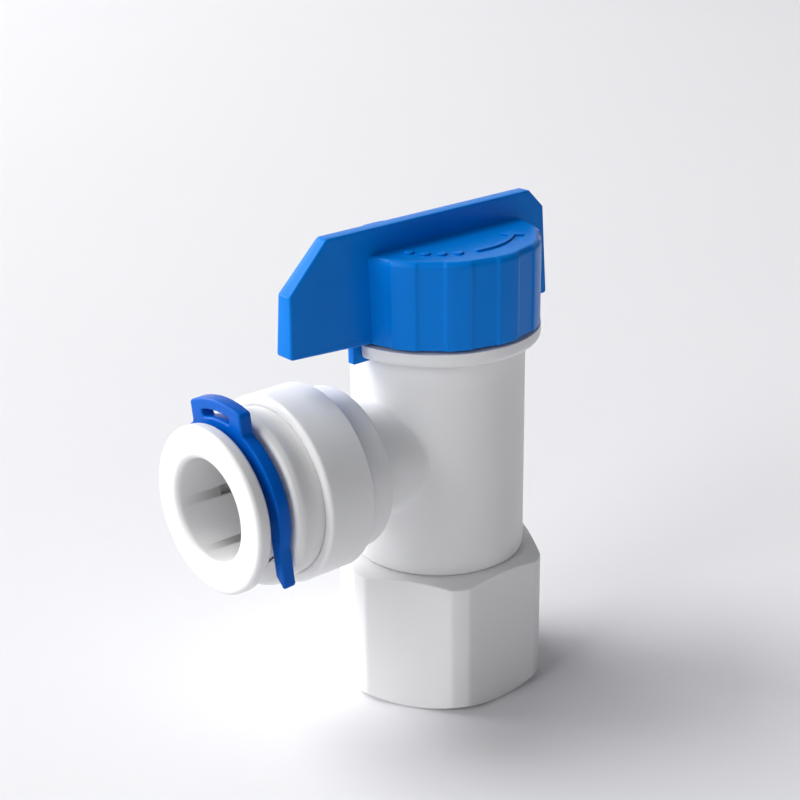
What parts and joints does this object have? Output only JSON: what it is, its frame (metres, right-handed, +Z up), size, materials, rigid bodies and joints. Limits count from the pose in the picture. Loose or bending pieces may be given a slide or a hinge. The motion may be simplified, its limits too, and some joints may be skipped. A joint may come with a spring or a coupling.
{
  "type": "push-fit tank ball valve",
  "caption": "Angle ball valve for a water storage tank: hexagonal female-threaded base, quarter-turn handle and a push-fit tube socket with collet and locking clip.",
  "frame": {"origin": "centre of the hexagonal base's underside, on the valve's main axis, at the mouth of the tank thread", "axes": "+Z up along the main axis and the stem, -Y out of the tube socket, +X to the right of the socket seen from its mouth"},
  "size_m": [0.02, 0.0408, 0.0487],
  "materials": {
    "body_plastic": "semi-matt white acetal, lightly textured",
    "handle_plastic": "glossy blue acetal",
    "clip_plastic": "glossy blue acetal",
    "stem_plastic": "satin white acetal",
    "seat_plastic": "waxy white seat plastic",
    "seal_rubber": "black nitrile rubber",
    "tooth_steel": "stainless steel"
  },
  "bodies": {
    "valve": {"valve_body": "body_plastic", "tank_adapter": "body_plastic", "adapter_oring": "seal_rubber", "bottom_seat": "seat_plastic", "bottom_seat_oring": "seal_rubber", "outlet_seat": "seat_plastic", "outlet_seat_oring": "seal_rubber", "thrust_washer": "seat_plastic", "socket_collar": "body_plastic", "nose_cap": "body_plastic", "tube_oring": "seal_rubber", "spacer_ring": "seat_plastic"},
    "turning_handle": {"handle": "handle_plastic", "stem": "stem_plastic", "ball": "seat_plastic", "stem_oring_lower": "seal_rubber", "stem_oring_upper": "seal_rubber"},
    "clip": {"locking_clip": "clip_plastic"},
    "release_collet": {"collet": "body_plastic", "grip_teeth": "tooth_steel"}
  },
  "joints": [
    {"name": "handle_turn", "type": "hinge", "parent": "valve", "child": "turning_handle", "pos_m": [0, 0, 0.0373], "axis": [0, 0, 1], "range_deg": [-90, 0]},
    {"name": "clip_pull", "type": "slide", "parent": "valve", "child": "clip", "axis": [-0.0872, -0.0435, 0.9952], "range_m": [0, 0.05]},
    {"name": "collet_press", "type": "slide", "parent": "valve", "child": "release_collet", "axis": [0, 1, 0], "range_m": [0, 0.00175]}
  ],
  "couplings": [
    {"joint": "collet_press", "follows": "clip_pull", "ratio": 0.035}
  ]
}
